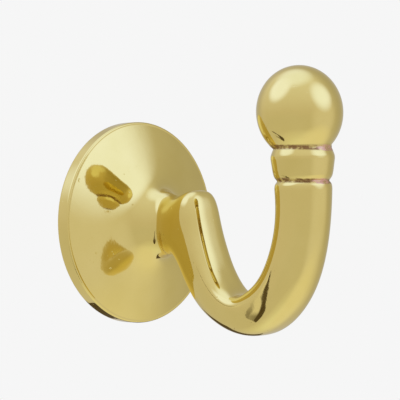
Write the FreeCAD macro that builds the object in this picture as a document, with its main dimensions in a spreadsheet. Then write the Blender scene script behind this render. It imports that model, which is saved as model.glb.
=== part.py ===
"""Curtain tieback hook, cast in one piece with its domed wall rose.

Millimetres. The origin is the middle of the rose's flat back, +Z is up, and the hook reaches away from the
wall along -Y. "Reach" below is the distance from the wall, so reach = -Y.
"""

import FreeCAD, Part
import math
import os
import Sketcher

doc = FreeCAD.newDocument("holdback")
sizes = doc.addObject("Spreadsheet::Sheet", "Sizes")
cell_row = 0


def size(alias, value, what):
    """Write one driving size on the sheet's next row: its name, its value and what it is."""
    global cell_row
    cell_row += 1
    sizes.set(f"A{cell_row}", alias)
    sizes.set(f"B{cell_row}", str(value))
    sizes.set(f"C{cell_row}", what)
    sizes.setAlias(f"B{cell_row}", alias)


# Rose: a straight band with a low dome on its front
rose_diameter = 36
rim_height = 2.7
rim_edge_radius = 0.35
rim_back_chamfer = 0.3
dome_inset = 0.5
dome_height = 3.0
size("rose_diameter", rose_diameter, "outside of the rose")
size("rim_height", rim_height, "straight band round the rose")
size("rim_edge_radius", rim_edge_radius, "rounded front edge of the band")
size("rim_back_chamfer", rim_back_chamfer, "broken back edge of the band")
size("dome_inset", dome_inset, "flat step between the band and the foot of the dome")
size("dome_height", dome_height, "dome above the front of the band, without the flare in its middle")

# Tapped hole in the middle of the rose's back
tap_drill = 4.2
tap_depth = 11
size("tap_drill", tap_drill, "core of an M5 thread")
size("tap_depth", tap_depth, "depth of the tapped hole")

# Flare: oval sections square to the rose's axis, from inside the dome into the stub.
# Distance beyond the dome's top, thickness in the hook's plane and width across it
flare_sections = [
    ("skirt", -1.25, 22.2, 22.0),
    ("flare_foot", -0.6, 20.0, 19.8),
    ("flare", 0.15, 16.1, 15.8),
    ("flare_top", 1.6, 12.4, 10.9),
]
for name, beyond, thickness, width in flare_sections:
    size(f"{name}_beyond", beyond, f"{name.replace('_', ' ')} section beyond the dome's top")
    size(f"{name}_thickness", thickness, f"{name.replace('_', ' ')} section in the hook's plane")
    size(f"{name}_width", width, f"{name.replace('_', ' ')} section across the hook")

# Stub and shoulder: oval sections. Distance from the wall, height, thickness in the hook's plane and width across
# it, then the headings, where 0 is straight out and a minus is down
stub_sections = [
    ("stub", 11.2, -0.5, 10.2, 7.9),
    ("shoulder", 14.35, 0.45, 11.6, 8.9),
    ("elbow", 16.35, -3.25, 9.5, 8.8),
]
stub_heading_degrees = {"stub": -9, "shoulder": -27, "elbow": -47}
for name, reach, height, thickness, width in stub_sections:
    size(f"{name}_reach", reach, f"{name} section from the wall")
    size(f"{name}_height", height, f"{name} section above the rose's axis")
    size(f"{name}_heading", stub_heading_degrees[name], f"{name} section's heading in degrees")
    size(f"{name}_thickness", thickness, f"{name} section in the hook's plane")
    size(f"{name}_width", width, f"{name} section across the hook")

# Bow: the arm follows half an ellipse. Thickness of its oval sections, then their turns along the half ellipse,
# where 0 is its lowest point
bow_reach = 28.2
bow_height = 4.0
bow_half_width = 12.7
bow_depth = 19.7
bow_width_share = 0.99
size("bow_reach", bow_reach, "middle of the half ellipse from the wall")
size("bow_height", bow_height, "that middle above the rose's axis")
size("bow_half_width", bow_half_width, "half width of the half ellipse")
size("bow_depth", bow_depth, "depth of the half ellipse")
size("bow_width_share", bow_width_share, "width of the bow's sections as a share of their thickness")
bow_sections = [
    ("descent", 7.8),
    ("waist", 6.8),
    ("bottom", 7.4),
    ("bend", 8.5),
    ("rise", 8.9),
    ("riser", 9.1),
    ("neck", 9.4),
]
bow_turn_degrees = {"descent": -47, "waist": -22, "bottom": 4, "bend": 30, "rise": 55, "riser": 72, "neck": 90}
for name, thickness in bow_sections:
    size(f"{name}_turn", bow_turn_degrees[name], f"{name} section's turn along the bow in degrees")
    size(f"{name}_thickness", thickness, f"{name} section in the hook's plane")

# Turned end of the arm: diameter of each step and its height above the bow's middle, upwards from the neck
turned_end = [
    ("lip", 9.55, 1.3),
    ("lower_groove", 8.6, 2.7),
    ("collar_foot", 9.6, 3.8),
    ("collar_top", 10.7, 6.7),
    ("upper_groove", 9.7, 8.0),
    ("ball_foot", 9.9, 9.0),
]
turned_edge_radius = 0.5
for name, diameter, rise in turned_end:
    size(f"{name}_diameter", diameter, f"{name.replace('_', ' ')} across")
    size(f"{name}_rise", rise, f"{name.replace('_', ' ')} above the bow's middle")
size("turned_edge_radius", turned_edge_radius, "rounded lip, collar foot and collar top")

# Ball on the end, leaning a little towards the wall
ball_diameter = 14.4
ball_length = 15.4
ball_rise = 6.1
ball_lean_degrees = 4
size("ball_diameter", ball_diameter, "ball across")
size("ball_length", ball_length, "ball along its own axis")
size("ball_rise", ball_rise, "middle of the ball above the upper groove")
size("ball_lean", ball_lean_degrees, "lean of the ball towards the wall in degrees")
doc.recompute()

ORIGIN = (-1, 1)
AXIS_X = FreeCAD.Vector(1, 0, 0)
AXIS_Y = FreeCAD.Vector(0, 1, 0)
FROM_WALL = FreeCAD.Vector(0, -1, 0)
UP = FreeCAD.Vector(0, 0, 1)
NECK_REACH = "(Sizes.bow_reach + Sizes.bow_half_width)"

hook = doc.addObject("PartDesign::Body", "Hook")
hook.Label = "holdback_hook"


def value(expression):
    """The number that an expression on the sheet gives now."""
    return float(sizes.evalExpression(expression))


def lay(feature, role, turn_axis=None):
    """Lay a sketch or primitive on the hook's origin plane of that role, ready to be turned about an axis."""
    feature.AttachmentSupport = [(next(f for f in hook.Origin.OriginFeatures if f.Role == role), "")]
    feature.MapMode = "FlatFace"
    if turn_axis:
        feature.AttachmentOffset = FreeCAD.Placement(FreeCAD.Vector(), FreeCAD.Rotation(turn_axis, 180))
    return feature


def sketch(name, role, turn_axis=None):
    return lay(hook.newObject("Sketcher::SketchObject", name), role, turn_axis)


def bind(target, kind, where, expression):
    """Add a sketch dimension and bind it to an expression."""
    index = target.addConstraint(Sketcher.Constraint(kind, *where, value(expression)))
    target.setExpression(f"Constraints[{index}]", expression)


def circle(name, role, diameter):
    """A sketch of one circle round the origin."""
    target = sketch(name, role)
    target.addGeometry(Part.Circle(FreeCAD.Vector(), UP, value(diameter) / 2))
    target.addConstraint(Sketcher.Constraint("Coincident", 0, 3, *ORIGIN))
    bind(target, "Diameter", (0,), diameter)
    return target


def outline(target, corners):
    """Close a run of straight lines through the corners, each a pair of expressions."""
    points = [FreeCAD.Vector(value(x), value(y)) for x, y in corners]
    for start, end in zip(points, points[1:] + points[:1]):
        target.addGeometry(Part.LineSegment(start, end))
    for line, (x, y) in enumerate(corners):
        before = (line - 1) % len(corners)
        target.addConstraint(Sketcher.Constraint("Coincident", before, 2, line, 1))
        bind(target, "DistanceX", (*ORIGIN, line, 1), x)
        bind(target, "DistanceY", (*ORIGIN, line, 1), y)


def round_edges(centre, radius):
    """Names of the hook's full-circle edges of that centre and radius."""
    names = []
    for number, edge in enumerate(hook.Shape.Edges, 1):
        off_length = abs(edge.Length - 2 * math.pi * radius)
        if off_length < 0.01 and edge.CenterOfMass.distanceToPoint(centre) < 0.01:
            names.append(f"Edge{number}")
    return names


def dress(kind, name, edges, property_name, expression):
    """Fillet or chamfer the named edges of the hook as it stands."""
    base = (hook.Tip, edges)
    feature = hook.newObject(kind, name)
    feature.Base = base
    feature.setExpression(property_name, expression)
    doc.recompute()


# Rose: the band is padded from the back, and the dome is a cap of a sphere on its front
rim = hook.newObject("PartDesign::Pad", "Rim")
rim.Profile = circle("RimOutline", "XZ_Plane", "Sizes.rose_diameter")
rim.setExpression("Length", "Sizes.rim_height")
doc.recompute()
rim_radius = value("Sizes.rose_diameter / 2")
front_edge = round_edges(FROM_WALL * value("Sizes.rim_height"), rim_radius)
dress("PartDesign::Fillet", "RimEdge", front_edge, "Radius", "Sizes.rim_edge_radius")
back_edge = round_edges(FreeCAD.Vector(), rim_radius)
dress("PartDesign::Chamfer", "RimBack", back_edge, "Size", "Sizes.rim_back_chamfer")

dome_foot = "(Sizes.rose_diameter / 2 - Sizes.dome_inset)"
dome_radius = f"(({dome_foot} ^ 2 + Sizes.dome_height ^ 2) / (2 * Sizes.dome_height))"
dome = lay(hook.newObject("PartDesign::AdditiveSphere", "Dome"), "XZ_Plane")
dome.setExpression(".AttachmentOffset.Base.z", f"Sizes.rim_height + Sizes.dome_height - {dome_radius}")
dome.setExpression("Radius", dome_radius)
dome.setExpression("Angle1", f"acos({dome_foot} / {dome_radius})")
doc.recompute()


# Arm: one loft from inside the dome through its flare, over the shoulder and round the bow to the neck
def oval(name, reach, height, heading, thickness, width):
    """An oval section square to its heading, with its long axis in the hook's plane."""
    section = sketch(name.capitalize(), "XZ_Plane", AXIS_X)
    section.setExpression(".AttachmentOffset.Base.y", height)
    section.setExpression(".AttachmentOffset.Base.z", reach)
    section.setExpression(".AttachmentOffset.Rotation.Angle", f"-1 * {heading}")
    tall = FreeCAD.Vector(0, value(thickness) / 2)
    wide = FreeCAD.Vector(-value(width) / 2, 0)
    section.addGeometry(Part.Ellipse(tall, wide, FreeCAD.Vector()))
    section.exposeInternalGeometry(0)
    long_axis, short_axis = 1, 2
    section.addConstraint(Sketcher.Constraint("Coincident", 0, 3, *ORIGIN))
    section.addConstraint(Sketcher.Constraint("Vertical", long_axis))
    bind(section, "Distance", (long_axis,), thickness)
    bind(section, "Distance", (short_axis,), width)
    return section


sections = []
for name, *_ in flare_sections:
    reach = f"Sizes.rim_height + Sizes.dome_height + Sizes.{name}_beyond"
    sections.append(oval(name, reach, "0", "0 deg", f"Sizes.{name}_thickness", f"Sizes.{name}_width"))
for name, *_ in stub_sections:
    heading = f"(Sizes.{name}_heading * 1 deg)"
    own = [f"Sizes.{name}_{what}" for what in ("reach", "height", "thickness", "width")]
    sections.append(oval(name, own[0], own[1], heading, own[2], own[3]))
for name, *_ in bow_sections:
    along = f"Sizes.bow_half_width * sin(Sizes.{name}_turn * 1 deg)"
    below = f"Sizes.bow_depth * cos(Sizes.{name}_turn * 1 deg)"
    heading = f"atan2(Sizes.bow_depth * sin(Sizes.{name}_turn * 1 deg); "
    heading += f"Sizes.bow_half_width * cos(Sizes.{name}_turn * 1 deg))"
    thickness = f"Sizes.{name}_thickness"
    reach = f"Sizes.bow_reach + {along}"
    height = f"Sizes.bow_height - {below}"
    sections.append(oval(name, reach, height, heading, thickness, f"{thickness} * Sizes.bow_width_share"))
doc.recompute()
arm = hook.newObject("PartDesign::AdditiveLoft", "Arm")
arm.Profile = sections[0]
arm.Sections = sections[1:]
doc.recompute()

# Collar: turned on the arm's end, between a lower and an upper groove
collar_sketch = sketch("CollarOutline", "YZ_Plane", AXIS_Y)
collar_sketch.setExpression(".AttachmentOffset.Base.x", f"-1 * {NECK_REACH}")
collar_sketch.setExpression(".AttachmentOffset.Base.y", "Sizes.bow_height")
corners = [("Sizes.lip_diameter / 2", "0")]
for name, *_ in turned_end:
    corners.append((f"Sizes.{name}_diameter / 2", f"Sizes.{name}_rise"))
outline(collar_sketch, [("0", "0"), *corners, ("0", corners[-1][1])])
collar = hook.newObject("PartDesign::Revolution", "Collar")
collar.Profile = collar_sketch
collar.ReferenceAxis = (collar_sketch, ["V_Axis"])
doc.recompute()
neck_axis = FROM_WALL * value(NECK_REACH)
for name in ("lip", "collar_foot", "collar_top"):
    centre = neck_axis + UP * value(f"Sizes.bow_height + Sizes.{name}_rise")
    edges = round_edges(centre, value(f"Sizes.{name}_diameter / 2"))
    dress("PartDesign::Fillet", f"{name}_edge", edges, "Radius", "Sizes.turned_edge_radius")

# Ball: slightly longer than wide, leaning a little back towards the wall
ball = lay(hook.newObject("PartDesign::AdditiveEllipsoid", "Ball"), "XY_Plane", AXIS_X)
lean = "(Sizes.ball_lean * 1 deg)"
ball.setExpression(".AttachmentOffset.Base.y", f"Sizes.ball_rise * sin{lean} - {NECK_REACH}")
ball_seat = "(Sizes.bow_height + Sizes.upper_groove_rise)"
ball.setExpression(".AttachmentOffset.Base.z", f"{ball_seat} + Sizes.ball_rise * cos{lean}")
ball.setExpression(".AttachmentOffset.Rotation.Angle", f"-1 * {lean}")
ball.setExpression("Radius1", "Sizes.ball_length / 2")
ball.setExpression("Radius2", "Sizes.ball_diameter / 2")
doc.recompute()

# Back: flat, with a blind hole tapped for the fixing bolt
tapping = hook.newObject("PartDesign::Hole", "FixingHole")
tapping.Profile = circle("FixingHoleCentre", "XZ_Plane", "Sizes.tap_drill")
tapping.Reversed = True
tapping.DepthType = "Dimension"
tapping.DrillPoint = "Flat"
tapping.setExpression("Diameter", "Sizes.tap_drill")
tapping.setExpression("Depth", "Sizes.tap_depth")
solid_volume = hook.Shape.Volume
doc.recompute()
if hook.Shape.Volume >= solid_volume:
    raise RuntimeError("the fixing hole takes no metal away")

for item in doc.Objects:
    if "Invalid" in item.State or "Error" in item.State:
        raise RuntimeError(f"{item.Name} did not build: {item.getStatusString()}")
if hook.Shape.isNull() or not hook.Shape.isValid() or len(hook.Shape.Solids) != 1:
    raise RuntimeError("the hook is not one sound solid")

os.makedirs("parts", exist_ok=True)
hook.Shape.exportStep("parts/holdback_hook.step")
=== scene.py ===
import math

import bpy
import numpy as np
from mathutils import Matrix, Vector
from mathutils.bvhtree import BVHTree
from mathutils.interpolate import poly_3d_calc


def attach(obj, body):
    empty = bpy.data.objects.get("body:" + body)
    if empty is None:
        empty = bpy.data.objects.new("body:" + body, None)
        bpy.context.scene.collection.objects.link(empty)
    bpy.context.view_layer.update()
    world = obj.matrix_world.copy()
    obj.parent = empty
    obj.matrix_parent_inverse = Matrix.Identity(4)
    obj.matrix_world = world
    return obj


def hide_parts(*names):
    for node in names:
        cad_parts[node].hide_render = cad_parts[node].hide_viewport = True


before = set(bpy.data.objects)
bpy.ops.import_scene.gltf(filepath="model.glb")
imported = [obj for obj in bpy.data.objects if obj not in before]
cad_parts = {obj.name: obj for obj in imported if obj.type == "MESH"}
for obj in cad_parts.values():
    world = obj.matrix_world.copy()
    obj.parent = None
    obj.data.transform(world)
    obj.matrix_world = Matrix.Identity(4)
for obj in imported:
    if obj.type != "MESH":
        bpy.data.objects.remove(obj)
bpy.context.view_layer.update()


# Hook: a curtain holdback cast in brass in one piece, rose, arm and ball together, then turned, filed and
# polished. A bolt out of the wall screws into its back. It is drawn as one closed skin of rings, from the
# tapped hole over the back, rim and dome of the rose and along the arm to the ball's top, in millimetres.
ring_points = 144
around = np.linspace(0, 2 * np.pi, ring_points, endpoint=False)
rings = []


def column(values):
    """Values one below the other, so that each of them gives a ring."""
    return np.asarray(values, float)[:, None]


def about_wall_axis(reach, radius):
    """Rings about the rose's axis: each point lies at its radius and its angle from the top.

    Reach is how far a ring stands out from the wall, along -Y.
    """
    reach, radius, angle = np.broadcast_arrays(reach, radius, around[None, :])
    return np.stack([radius * np.sin(angle), -reach, radius * np.cos(angle)], axis=2)


# Tapped hole: drilled into the middle of the back, with a flat bottom, and threaded M5 in its outer half. The
# thread is a helix whose depth is a triangle wave of reach and angle, and it fades out over its last turn.
hole_depth = 11.0
hole_radius = 2.1
thread_length = 6.3
thread_depth = 0.35
thread_pitch = 0.8
thread_fade = 0.8
mouth_bevel = 0.12
rings.append(about_wall_axis(hole_depth, column([0.0, 1.0, 2.0])))
plain_wall = np.linspace(hole_depth, thread_length + 0.1, 6)
threaded_wall = np.linspace(thread_length, mouth_bevel, 62)
hole_wall = column(np.concatenate([plain_wall, threaded_wall]))
turns = hole_wall / thread_pitch + around / (2 * np.pi)
groove = np.abs(2 * (turns - np.floor(turns)) - 1)
cut = np.clip((thread_length - hole_wall) / thread_fade, 0, 1) * thread_depth
rings.append(about_wall_axis(hole_wall, hole_radius + cut * groove))

# Rose: the round foot that is drawn against the wall. Its flat back and straight rim are turned, the back's
# edge is broken and the front's edge rounded, and a narrow step is left around the foot of the dome.
rose_radius = 17.995
rim_height = 2.7
rim_round = 0.35
dome_inset = 0.5
mouth_radius = np.array([2.5, 2.9])
back_radius = np.array([5.0, 9.0, 13.0, 16.0])
back_edge_inset = np.array([0.595, 0.335])
broken_edge_reach = np.array([0.02, 0.28, 0.34])
broken_edge_inset = np.array([0.275, 0.025, 0.005])
back_rings = np.concatenate([mouth_radius, back_radius, rose_radius - back_edge_inset])
rings.append(about_wall_axis(0.0, column(back_rings)))
rings.append(about_wall_axis(column(broken_edge_reach), column(rose_radius - broken_edge_inset)))
rings.append(about_wall_axis(column(np.linspace(0.5, rim_height - rim_round - 0.1, 8)), rose_radius))
bend = column(np.linspace(0, np.pi / 2, 9))
front_edge_reach = rim_height - rim_round * (1 - np.sin(bend))
front_edge_radius = rose_radius - rim_round * (1 - np.cos(bend))
rings.append(about_wall_axis(front_edge_reach, front_edge_radius))
foot_radius = rose_radius - dome_inset
rings.append(about_wall_axis(rim_height, column([foot_radius + 0.1, foot_radius + 0.02])))

# Dome: the front of the rose, cast low and nearly a cone, flaring in its middle into the stub of the arm.
# Its rings are circles at the foot and turn into the stub's oval, taller than wide, towards the middle.
dome_rise = 2.45
dome_power = 2.3
flare = 2.95
stub_core = 3.0
oval_gap = 1.4
oval_fade = 1.25
oval_from_foot = 3.0
oval_taller = 1.0
oval_narrower = 1.4
oval_drop = 0.3


def oval_sections(reach, height, heading, thick, wide, egg=0.0, full=1.0):
    """Rows of oval sections, one for each place along the hook.

    Reach and height give the middle, and heading the way that the hook runs there in degrees (0 is straight
    out from the wall, 90 is up). Thick is the size in the hook's plane, wide the size across it, egg how far
    the oval is an egg with its broad end to the front, and full its fullness (1 is an ellipse, less squarer).
    """
    return np.stack(np.broadcast_arrays(reach, height, heading, thick, wide, egg, full), axis=-1)


def oval_rings(sections):
    """Rings of points around oval sections: thickness runs square to the heading, width runs along X.

    Sine and cosine are raised to the fullness. The side is multiplied by 1 + egg * cosine, and divided by
    1 + 0.46 * egg ^ 2, so that an egg about keeps its width.
    """
    reach, height, heading, thick, wide, egg, full = np.moveaxis(sections[..., None], -2, 0)
    cosine = np.sign(np.cos(around)) * np.abs(np.cos(around)) ** full
    sine = np.sign(np.sin(around)) * np.abs(np.sin(around)) ** full
    off = thick / 2 * cosine
    side = wide / 2 * sine * (1 + egg * cosine) / (1 + 0.46 * egg ** 2)
    heading = np.radians(heading)
    return np.stack([side, -(reach - np.sin(heading) * off), height + np.cos(heading) * off], axis=-1)


def dome_sections(gap):
    """Sections of the dome at a gap outside the stub's core.

    Beyond the rim's front the skin reaches dome_rise * (1 - (radius / foot radius) ^ dome_power), plus
    flare ^ 2 * (1 / gap - 1 / widest gap). The oval comes in by an exponential of the gap, gone at the foot.
    """
    gap = np.asarray(gap, float)
    widest = foot_radius - stub_core
    bulge = 1 - ((stub_core + gap) / foot_radius) ** dome_power
    reach = rim_height + dome_rise * bulge + flare ** 2 * (1 / gap - 1 / widest)
    near = np.exp(-(gap - oval_gap) / oval_fade) * np.clip((widest - gap) / oval_from_foot, 0, 1)
    thick = 2 * (stub_core + gap + oval_taller * near)
    wide = 2 * (stub_core + gap - oval_narrower * near)
    return oval_sections(reach, -oval_drop * near, 0.0, thick, wide)


dome_gaps = np.array([4.2, 3.2, 2.6, 2.2, 1.75])
dome_last = 3
gaps = np.geomspace(foot_radius - stub_core, dome_gaps[dome_last], 800)
steps = np.hypot(np.diff(gaps), np.diff(dome_sections(gaps)[:, 0]))
slope_length = np.concatenate([[0.0], np.cumsum(steps)])
spread = np.concatenate([[0.02, 0.06, 0.12], np.linspace(0.25, slope_length[-1], 106)[:-1]])
rings.append(oval_rings(dome_sections(np.interp(spread, slope_length, gaps))))

# Arm: the rod of the hook, cast with the rose. It leaves the dome as a short stub, goes over a high shoulder
# and down, round a half ellipse where the tieback hangs, and up to the lip under its turned end. On the way
# down it is squarer and broader to the front, and where it rises it is round.
bow_reach = 28.2
bow_height = 4.0
bow_half_width = 12.7
bow_depth = 19.75
lip_height = 5.3
lip_across = 9.55
neck_reach = bow_reach + bow_half_width
stub = oval_sections(
    reach=np.array([11.2, 14.65, 16.0]),
    height=np.array([-0.6, -0.15, -2.75]),
    heading=np.array([-10.0, -29.2, -47.5]),
    thick=np.array([10.4, 12.5, 9.65]),
    wide=np.array([7.2, 8.1, 8.1]),
    egg=np.array([0.0, 0.02, 0.08]),
    full=np.array([0.8, 0.65, 0.64]),
)
bow_turn = np.radians([-60, -40, -22, -4, 14, 34, 60, 90])
bow = oval_sections(
    reach=bow_reach + bow_half_width * np.sin(bow_turn),
    height=bow_height - bow_depth * np.cos(bow_turn),
    heading=np.degrees(np.arctan2(bow_depth * np.sin(bow_turn), bow_half_width * np.cos(bow_turn))),
    thick=np.array([8.14, 7.5, 6.65, 6.68, 7.87, 8.61, 8.96, 9.45]),
    wide=np.array([8.1, 8.0, 8.0, 8.2, 8.5, 8.8, 9.0, 9.4]),
    egg=np.array([0.14, 0.2, 0.2, 0.15, 0.06, 0.0, 0.0, 0.0]),
    full=np.array([0.66, 0.66, 0.66, 0.68, 0.7, 0.8, 0.9, 1.0]),
)
lip = oval_sections(np.array([neck_reach]), lip_height, 90.0, lip_across, lip_across)


def smooth_through(knots, points, at):
    """Natural cubic spline through points at their knots.

    The second slopes at the knots solve one banded set of equations, and are nil at both ends.
    """
    gap = np.diff(knots)
    count = len(knots)
    band = np.eye(count)
    jumps = np.zeros((count, points.shape[1]))
    inner = np.arange(1, count - 1)
    band[inner, inner - 1] = gap[:-1]
    band[inner, inner] = 2 * (gap[:-1] + gap[1:])
    band[inner, inner + 1] = gap[1:]
    jumps[inner] = 6 * np.diff(np.diff(points, axis=0) / gap[:, None], axis=0)
    second = np.linalg.solve(band, jumps)
    k = np.clip(np.searchsorted(knots, at, side="right") - 1, 0, count - 2)
    past = column(at - knots[k])
    left = column(knots[k + 1] - at)
    whole = column(gap[k])
    chord = points[k] * left / whole + points[k + 1] * past / whole
    sag = second[k] * left * (left ** 2 / whole - whole) + second[k + 1] * past * (past ** 2 / whole - whole)
    return chord + sag / 6


knot_rings = oval_rings(np.concatenate([dome_sections(dome_gaps), stub, bow, lip]))
knot_steps = np.linalg.norm(np.diff(knot_rings, axis=0), axis=2).mean(axis=1)
knots = np.concatenate([[0.0], np.cumsum(knot_steps)])
along_arm = np.linspace(knots[dome_last], knots[-1], 262)
rings.append(smooth_through(knots, knot_rings.reshape(len(knots), -1), along_arm).reshape(-1, ring_points, 3))

# Turned end: the top of the arm, turned to a tapering collar, with a groove filed below it and one above it.
# Diameters over height run from the lip through the lower groove and the collar to the upper groove.
turned_height = np.array([
    lip_height, 5.6, 5.95, 6.2, 6.45, 6.7, 6.95, 7.25, 7.6,
    8.3, 9.4, 10.3, 10.75, 11.05, 11.35, 11.7, 12.05,
])
turned_across = np.array([
    lip_across, 9.53, 9.46, 9.28, 8.95, 8.56, 8.95, 9.4, 9.72,
    10.02, 10.34, 10.6, 10.58, 10.42, 10.2, 9.92, 9.6,
])
climb = np.linspace(lip_height, turned_height[-1], 92)[1:]
across = np.interp(climb, turned_height, turned_across)
across[1:-1] = (across[:-2] + 2 * across[1:-1] + across[2:]) / 4
rings.append(oval_rings(oval_sections(neck_reach, climb, 90.0, across, across)))

# Ball: the knob on the end of the arm, cast with it and polished, so not quite round. It is an egg that leans
# a little towards the wall, drawn from the upper groove to its top.
ball_radius = 7.18
ball_half_length = 7.75
ball_middle = 6.05
ball_base_height = 12.0
ball_foot_across = 9.7
ball_lean = 4.2
ball_foot = -math.acos(ball_foot_across / 2 / ball_radius)
latitude = np.concatenate([np.linspace(ball_foot, np.pi / 2 - 0.06, 76), [np.pi / 2]])
lift = ball_middle + ball_half_length * np.sin(latitude)
ball_across = 2 * ball_radius * np.cos(latitude)
rings.append(oval_rings(oval_sections(
    reach=neck_reach - lift * math.sin(math.radians(ball_lean)),
    height=ball_base_height + lift * math.cos(math.radians(ball_lean)),
    heading=90.0 + ball_lean,
    thick=ball_across,
    wide=ball_across,
)))

# Skin of the casting: four-sided faces join each ring to the next. The first and the last ring are single
# points, at the bottom of the hole and on top of the ball, and triangles close the skin there.
skin = np.concatenate(rings) / 1000
rows, cols = skin.shape[:2]
verts = np.concatenate([skin[0, :1], skin[1:-1].reshape(-1, 3), skin[-1, :1]])
row, col = np.meshgrid(np.arange(rows - 3), np.arange(cols), indexing="ij")
here = 1 + row * cols + col
beside = 1 + row * cols + (col + 1) % cols
quads = np.stack([here, here + cols, beside + cols, beside], axis=2).reshape(-1, 4)
spoke = np.arange(cols)
next_spoke = (spoke + 1) % cols
last_row = 1 + (rows - 3) * cols
hole_bottom = np.stack([np.zeros(cols, int), 1 + spoke, 1 + next_spoke], axis=1)
ball_top = np.stack([last_row + next_spoke, last_row + spoke, np.full(cols, len(verts) - 1)], axis=1)
mesh = bpy.data.meshes.new("holdback_casting")
mesh.from_pydata(verts.tolist(), [], quads.tolist() + hole_bottom.tolist() + ball_top.tolist())
mesh.validate()
mesh.polygons.foreach_set("use_smooth", np.ones(len(mesh.polygons), bool))

# Tarnish in the filed grooves, where no polishing wheel reaches: a bell curve over the height above a groove,
# a little aslant around the neck. On one side of each groove the brass has lost zinc and is copper red.
groove_heights = (6.72, 12.1)
red_sides = (3.23, 3.04)
tarnish_reach = 0.36
red_reach = 0.34
aslant = 0.22
aslant_turn = 2.36
neck_from_reach = 34.0
height_mm = verts[:, 2] * 1000
reach_mm = -verts[:, 1] * 1000
turn = np.arctan2(verts[:, 0] * 1000, neck_reach - reach_mm) % (2 * np.pi)
tarnish = np.zeros(len(verts))
copper = np.zeros(len(verts))
for groove_height, red_side in zip(groove_heights, red_sides):
    above = height_mm - groove_height + aslant * np.cos(turn - aslant_turn)
    stain_depth = np.exp(-(above / tarnish_reach) ** 2) * (reach_mm > neck_from_reach)
    tarnish = np.maximum(tarnish, stain_depth)
    copper = np.maximum(copper, stain_depth * np.exp(-((turn - red_side) / red_reach) ** 2))
mesh.attributes.new("tarnish", "FLOAT", "POINT").data.foreach_set("value", tarnish)
mesh.attributes.new("copper", "FLOAT", "POINT").data.foreach_set("value", copper)
casting = bpy.data.objects.new("holdback_casting", mesh)
bpy.context.scene.collection.objects.link(casting)
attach(casting, "root")
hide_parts("holdback_hook")

# Brass of the hook, polished bright and left bare: a yellow mirror, faintly clouded, with brown tarnish and
# copper red in its grooves, and with the low waves and fine pits that a casting keeps under its polish.
brass_yellow = (0.73, 0.59, 0.182)
brass_pale = (0.765, 0.625, 0.207)
tarnish_brown = (0.29, 0.165, 0.06)
copper_red = (0.72, 0.42, 0.27)
tarnish_roughness = 0.4


def grain_effect():
    """Node group of the grain: noise in a piece's own coordinates, at so many waves a metre."""
    group = bpy.data.node_groups.new("grain", "ShaderNodeTree")
    group.interface.new_socket("Waves", in_out="INPUT", socket_type="NodeSocketFloat")
    group.interface.new_socket("Detail", in_out="INPUT", socket_type="NodeSocketFloat")
    group.interface.new_socket("Grain", in_out="OUTPUT", socket_type="NodeSocketFloat")
    given = group.nodes.new("NodeGroupInput")
    place = group.nodes.new("ShaderNodeTexCoord")
    noise = group.nodes.new("ShaderNodeTexNoise")
    result = group.nodes.new("NodeGroupOutput")
    group.links.new(place.outputs["Object"], noise.inputs["Vector"])
    group.links.new(given.outputs["Waves"], noise.inputs["Scale"])
    group.links.new(given.outputs["Detail"], noise.inputs["Detail"])
    group.links.new(noise.outputs["Fac"], result.inputs["Grain"])
    return group


grain_group = grain_effect()


def grain(tree, waves, detail=2.0):
    """Place the grain in a material, with its own waves and detail."""
    placed = tree.nodes.new("ShaderNodeGroup")
    placed.node_tree = grain_group
    placed.inputs["Waves"].default_value = waves
    placed.inputs["Detail"].default_value = detail
    return placed.outputs["Grain"]


def attribute(tree, name):
    """Value that a mesh holds at its points."""
    held = tree.nodes.new("ShaderNodeAttribute")
    held.attribute_name = name
    return held.outputs["Fac"]


def between(tree, value, low, high, to_low, to_high):
    """Map a value's range to another one and hold it at the ends."""
    step = tree.nodes.new("ShaderNodeMapRange")
    for name, number in zip(("From Min", "From Max", "To Min", "To Max"), (low, high, to_low, to_high)):
        step.inputs[name].default_value = number
    tree.links.new(value, step.inputs["Value"])
    return step.outputs["Result"]


def times(tree, one, other):
    """Product of two values."""
    product = tree.nodes.new("ShaderNodeMath")
    product.operation = "MULTIPLY"
    tree.links.new(one, product.inputs[0])
    tree.links.new(other, product.inputs[1])
    return product.outputs["Value"]


def times_plus(tree, value, factor, added):
    """A value times a fixed factor, plus another value."""
    total = tree.nodes.new("ShaderNodeMath")
    total.operation = "MULTIPLY_ADD"
    tree.links.new(value, total.inputs[0])
    total.inputs[1].default_value = factor
    tree.links.new(added, total.inputs[2])
    return total.outputs["Value"]


def laid_over(tree, share, under, over):
    """Lay a colour over another one by a share."""
    blend = tree.nodes.new("ShaderNodeMix")
    blend.data_type = "RGBA"
    tree.links.new(share, blend.inputs["Factor"])
    tree.links.new(under, blend.inputs["A"])
    blend.inputs["B"].default_value = (*over, 1)
    return blend.outputs["Result"]


def shaded(tree, value, stops):
    """Colour of a value from 0 to 1, by the colours at its stops."""
    ramp = tree.nodes.new("ShaderNodeValToRGB")
    for _ in stops[2:]:
        ramp.color_ramp.elements.new(1.0)
    for stop, (position, colour) in zip(ramp.color_ramp.elements, stops):
        stop.position = position
        stop.color = (*colour, 1)
    tree.links.new(value, ramp.inputs["Fac"])
    return ramp.outputs["Color"]


def raised(tree, height, strength, distance):
    """Bump of a height, from 0 to 1, that stands so many metres high."""
    bump = tree.nodes.new("ShaderNodeBump")
    bump.inputs["Strength"].default_value = strength
    bump.inputs["Distance"].default_value = distance
    tree.links.new(height, bump.inputs["Height"])
    return bump


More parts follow.
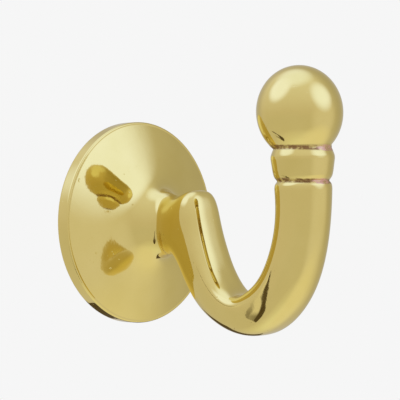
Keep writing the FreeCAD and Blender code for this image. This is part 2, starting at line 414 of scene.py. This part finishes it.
polished_brass = bpy.data.materials.new("polished_brass")
polished_brass.use_nodes = True
brass = polished_brass.node_tree
metal = brass.nodes["Principled BSDF"]
metal.inputs["Metallic"].default_value = 1.0
cloud = grain(brass, 160.0, 4.0)
fleck = grain(brass, 1500.0, 3.0)
brown = times(
    brass,
    between(brass, attribute(brass, "tarnish"), 0.15, 0.6, 0.0, 1.0),
    between(brass, fleck, 0.4, 0.56, 0.3, 1.0),
)
rosy = times(
    brass,
    between(brass, attribute(brass, "copper"), 0.1, 0.35, 0.0, 1.0),
    between(brass, fleck, 0.36, 0.5, 0.4, 1.0),
)
worn = laid_over(brass, brown, shaded(brass, cloud, [(0.3, brass_yellow), (0.7, brass_pale)]), tarnish_brown)
worn = laid_over(brass, rosy, worn, copper_red)
brass.links.new(worn, metal.inputs["Base Color"])
clouded = between(brass, cloud, 0.3, 0.7, 0.03, 0.06)
brass.links.new(times_plus(brass, brown, tarnish_roughness, clouded), metal.inputs["Roughness"])
waves = raised(brass, grain(brass, 420.0, 3.0), 0.35, 0.00003)
pits = raised(brass, between(brass, grain(brass, 1300.0, 1.0), 0.18, 0.26, 0.0, 1.0), 0.3, 0.00006)
brass.links.new(waves.outputs["Normal"], pits.inputs["Normal"])
brass.links.new(pits.outputs["Normal"], metal.inputs["Normal"])
mesh.materials.append(polished_brass)

# Room: a pale studio that lights the hook evenly from all sides, with no lamp. The eye sees a flat pale
# ground. The metal mirrors grey walls that grow paler upwards, dim walls behind the hook, and soft windows.
seen_ground = 0.922
even_light = 0.94
view_azimuth = math.radians(-46.02)
across_view = np.array([math.cos(view_azimuth), math.sin(view_azimuth), 0.0])
towards_camera = np.array([math.sin(view_azimuth), -math.cos(view_azimuth), 0.0])
wall_tones = [
    (0.00, (0.93, 0.97, 1.00)),
    (0.07, (0.82, 0.82, 0.84)),
    (0.18, (0.70, 0.68, 0.70)),
    (0.38, (0.69, 0.67, 0.70)),
    (0.50, (0.72, 0.69, 0.74)),
    (0.75, (0.81, 0.81, 0.95)),
    (0.93, (0.86, 0.88, 1.08)),
    (1.00, (0.92, 0.97, 1.25)),
]
studio = bpy.data.worlds.new("studio")
studio.use_nodes = True
bpy.context.scene.world = studio
room = studio.node_tree
room.nodes.clear()
direction = room.nodes.new("ShaderNodeTexCoord").outputs["Generated"]
split = room.nodes.new("ShaderNodeSeparateXYZ")
room.links.new(direction, split.inputs["Vector"])
mirrored_tone = shaded(room, between(room, split.outputs["Z"], -1.0, 1.0, 0.0, 1.0), wall_tones)


def soft_patch(under, azimuth, elevation, inner, outer, tone):
    """Lay a soft round patch over the room's tones, by the angle between a mirrored direction and the patch.

    Azimuth runs from the camera to its right, elevation upwards, all in degrees. The patch is full inside the
    inner angle and gone beyond the outer one.
    """
    azimuth, elevation = math.radians(azimuth), math.radians(elevation)
    level = math.sin(azimuth) * across_view + math.cos(azimuth) * towards_camera
    near = room.nodes.new("ShaderNodeVectorMath")
    near.operation = "DOT_PRODUCT"
    near.inputs[1].default_value = (*(math.cos(elevation) * level[:2]), math.sin(elevation))
    room.links.new(direction, near.inputs[0])
    fade = room.nodes.new("ShaderNodeMapRange")
    fade.interpolation_type = "SMOOTHSTEP"
    fade.inputs["From Min"].default_value = math.cos(math.radians(outer))
    fade.inputs["From Max"].default_value = math.cos(math.radians(inner))
    room.links.new(near.outputs["Value"], fade.inputs["Value"])
    return laid_over(room, fade.outputs["Result"], under, tone)


dim_walls = [
    (150, 15, 10, 70, (0.53, 0.51, 0.48)),
    (-165, 0, 5, 50, (0.58, 0.56, 0.54)),
]
pale_walls = [
    (66, -12, 8, 45, (0.80, 0.79, 0.90)),
    (80, -62, 12, 45, (0.93, 0.92, 0.95)),
]
windows = [
    (-112, 80, 10, 40, (1.08, 1.24, 2.05)),
    (-80, 46, 14, 32, (1.13, 1.30, 2.25)),
    (67, 31, 6, 35, (1.13, 1.31, 2.25)),
]
for patch in dim_walls + pale_walls + windows:
    mirrored_tone = soft_patch(mirrored_tone, *patch)
mirrored = room.nodes.new("ShaderNodeBackground")
room.links.new(mirrored_tone, mirrored.inputs["Color"])
path = room.nodes.new("ShaderNodeLightPath")
ground = room.nodes.new("ShaderNodeBackground")
ground_tone = between(room, path.outputs["Is Camera Ray"], 0.0, 1.0, even_light, seen_ground)
room.links.new(ground_tone, ground.inputs["Color"])
ground_or_room = room.nodes.new("ShaderNodeMixShader")
room.links.new(path.outputs["Is Glossy Ray"], ground_or_room.inputs["Fac"])
room.links.new(ground.outputs["Background"], ground_or_room.inputs[1])
room.links.new(mirrored.outputs["Background"], ground_or_room.inputs[2])
sky = room.nodes.new("ShaderNodeOutputWorld")
room.links.new(ground_or_room.outputs["Shader"], sky.inputs["Surface"])

# Floor: a round sheet of pale paper, laid flat under the hook and clear of it. It takes the hook's soft
# shadow, and the metal mirrors the room in its place.
floor_radius = 150.0
floor_height = -60.0


def studio_sheet(name, points, faces):
    """A sheet of the studio, from its points in millimetres and its faces."""
    sheet = bpy.data.meshes.new(name)
    sheet.from_pydata((points / 1000).tolist(), [], faces)
    placed = bpy.data.objects.new(name, sheet)
    bpy.context.scene.collection.objects.link(placed)
    return placed


def level_board(name, corners, height):
    """A level board at a height, its corners given across the view and towards the camera, in millimetres."""
    points = corners[:, :1] * across_view + corners[:, 1:] * towards_camera
    points[:, 2] = height
    return studio_sheet(name, points, [list(range(len(points)))])


turn_round = np.radians(np.arange(0, 360, 5))
floor_rim = floor_radius * np.stack([np.cos(turn_round), np.sin(turn_round)], axis=1)
floor = level_board("floor", floor_rim, floor_height)
floor.visible_glossy = False
pale_paper = bpy.data.materials.new("pale_paper")
pale_paper.use_nodes = True
paper = pale_paper.node_tree
paper_face = paper.nodes["Principled BSDF"]
paper_face.inputs["Roughness"].default_value = 0.95
paper_face.inputs["Specular IOR Level"].default_value = 0.1
fibre_tone = shaded(paper, grain(paper, 130.0), [(0.0, (0.90, 0.90, 0.90)), (1.0, (0.93, 0.93, 0.93))])
paper.links.new(fibre_tone, paper_face.inputs["Base Color"])
floor.data.materials.append(pale_paper)

# Camera: level with the hook, 46 degrees round from its front and turned by just over a degree. The middle of
# the rose's back lies left of the picture's middle and a little below it.
view_elevation = math.radians(0.33)
view_roll = math.radians(-1.26)
distance = 320.0
picture = 400
pixels_per_mm = 5.54
origin_right = 131.79
origin_down = 222.35
film = 36.0
backwards = math.cos(view_elevation) * towards_camera + np.array([0.0, 0.0, math.sin(view_elevation)])
upright = np.cross(backwards, across_view)
right = across_view * math.cos(view_roll) + upright * math.sin(view_roll)
up = upright * math.cos(view_roll) - across_view * math.sin(view_roll)
shift_right = (picture / 2 - origin_right) / pixels_per_mm
shift_down = (picture / 2 - origin_down) / pixels_per_mm
eye = backwards * distance + right * shift_right - up * shift_down
lens = bpy.data.cameras.new("camera")
lens.sensor_width = film
lens.lens = film * pixels_per_mm * distance / picture
lens.clip_start = 0.01
camera = bpy.data.objects.new("camera", lens)
bpy.context.scene.collection.objects.link(camera)
pose = np.eye(4)
pose[:3] = np.stack([right, up, backwards, eye / 1000], axis=1)
camera.matrix_world = Matrix(pose.tolist())
bpy.context.scene.camera = camera
bpy.context.scene.view_settings.view_transform = "Standard"

# Dark boards: cards of the studio that glow with a dark tone of their own, painted reflections that give the
# bright metal its dark places. One is a bent strip left of the hook, paler in its middle, and one lies just
# above the floor behind it. Only the metal sees them, in its first mirror image and not in the image of an
# image.
board_height = -58.0
bow_in_view = np.array([[20.5, 19.8]])
back_corners = np.array([[-48, -42], [6, -42], [6, -115], [-72, -115], [-60, -62]])
# Edges of the dark drop that the bow mirrors, from its top to its foot, in pixels of the picture
drop_right_edge = np.array([[270.5, 271.5], [268.5, 285.5], [265.5, 308.5], [261.0, 317.5], [256.0, 322.5]])
drop_left_edge = np.array([[269.5, 273.0], [265.0, 284.5], [257.0, 307.5], [250.5, 318.0], [253.0, 321.0]])
strip_distance = 40.0
strip_breadth = 1.27
strip_rows = 61
strip_cols = 41
skin_tree = BVHTree.FromPolygons(verts.tolist(), quads.tolist())
skin_normals = np.empty(verts.shape, np.float32)
mesh.vertices.foreach_get("normal", skin_normals.ravel())


def mirrored_place(pixel):
    """Place that the skin mirrors at a pixel, at the strip's distance from the skin.

    The line of sight meets the skin and turns there to sight - 2 * (sight . normal) * normal, with the smooth
    normal that the corners of the face give.
    """
    off_right, off_down = (pixel - picture / 2) / (pixels_per_mm * distance)
    sight = right * off_right - up * off_down - backwards
    sight /= np.linalg.norm(sight)
    met, _, face, _ = skin_tree.ray_cast(Vector(eye / 1000), Vector(sight))
    corners = quads[face]
    normal = np.array(poly_3d_calc([Vector(vert) for vert in verts[corners]], met)) @ skin_normals[corners]
    normal /= np.linalg.norm(normal)
    return np.array(met) * 1000 + strip_distance * (sight - 2 * (sight @ normal) * normal)


edge_stops = len(drop_right_edge) - 1.0
down = np.linspace(0, edge_stops, strip_rows)
both_edges = np.array([
    np.concatenate([mirrored_place(right_pixel), mirrored_place(left_pixel)])
    for right_pixel, left_pixel in zip(drop_right_edge, drop_left_edge)
])
edges = smooth_through(np.arange(edge_stops + 1), both_edges, down)
share = np.linspace(0, 1, strip_cols)
reached = strip_breadth * share[None, :, None]
strip = edges[:, None, :3] * (1 - reached) + edges[:, None, 3:] * reached
corner = np.arange(strip_rows * strip_cols).reshape(strip_rows, strip_cols)
strip_faces = np.stack([corner[:-1, :-1], corner[1:, :-1], corner[1:, 1:], corner[:-1, 1:]], axis=2)
flag = studio_sheet("flag", strip.reshape(-1, 3), strip_faces.reshape(-1, 4).tolist())


def rising(value, start, end):
    """Straight rise from 0 at the start to 1 at the end, held on both sides."""
    return np.clip((value - start) / (end - start), 0, 1)


# Painted reflection, the strip's glowing tone: dark along its right side and its foot, fading to the left,
# and faint along its left side
dark_side = 1 - rising(share, 0.46, 0.6)
dark_foot = rising(column(down), 2.2, 2.7) * (1 - 0.5 * share)
faint_side = 0.7 * rising(share, 0.86, 0.92) * rising(column(down), 1.0, 2.5)
painted_reflection_dark = np.maximum(np.maximum(dark_side, dark_foot), faint_side)
flag.data.attributes.new("reflection_paleness", "FLOAT", "POINT").data.foreach_set("value", (1 - painted_reflection_dark).ravel())
back_board = level_board("back_board", bow_in_view + back_corners, board_height)

# A painted reflection: the boards glow with this dark tone instead of being lit, and deeper mirror images see
# through them
painted_reflection_card = bpy.data.materials.new("painted_reflection_card")
painted_reflection_card.use_nodes = True
card = painted_reflection_card.node_tree
card.nodes.remove(card.nodes["Principled BSDF"])
card_face = card.nodes.new("ShaderNodeEmission")
reflection_paleness = times_plus(card, grain(card, 90.0), 0.08, attribute(card, "reflection_paleness"))
card_tone = shaded(card, reflection_paleness, [(0.0, (0.08, 0.055, 0.025)), (1.0, (0.82, 0.80, 0.84))])
card.links.new(card_tone, card_face.inputs["Color"])
bounces = card.nodes.new("ShaderNodeLightPath")
seen_again = card.nodes.new("ShaderNodeMath")
seen_again.operation = "GREATER_THAN"
seen_again.inputs[1].default_value = 1.5
card.links.new(bounces.outputs["Ray Depth"], seen_again.inputs[0])
nothing = card.nodes.new("ShaderNodeBsdfTransparent")
card_once = card.nodes.new("ShaderNodeMixShader")
card.links.new(seen_again.outputs["Value"], card_once.inputs["Fac"])
card.links.new(card_face.outputs["Emission"], card_once.inputs[1])
card.links.new(nothing.outputs["BSDF"], card_once.inputs[2])
card.links.new(card_once.outputs["Shader"], card.nodes["Material Output"].inputs["Surface"])
for board in (flag, back_board):
    board.data.materials.append(painted_reflection_card)
    board.visible_camera = False
    board.visible_diffuse = False
    board.visible_shadow = False
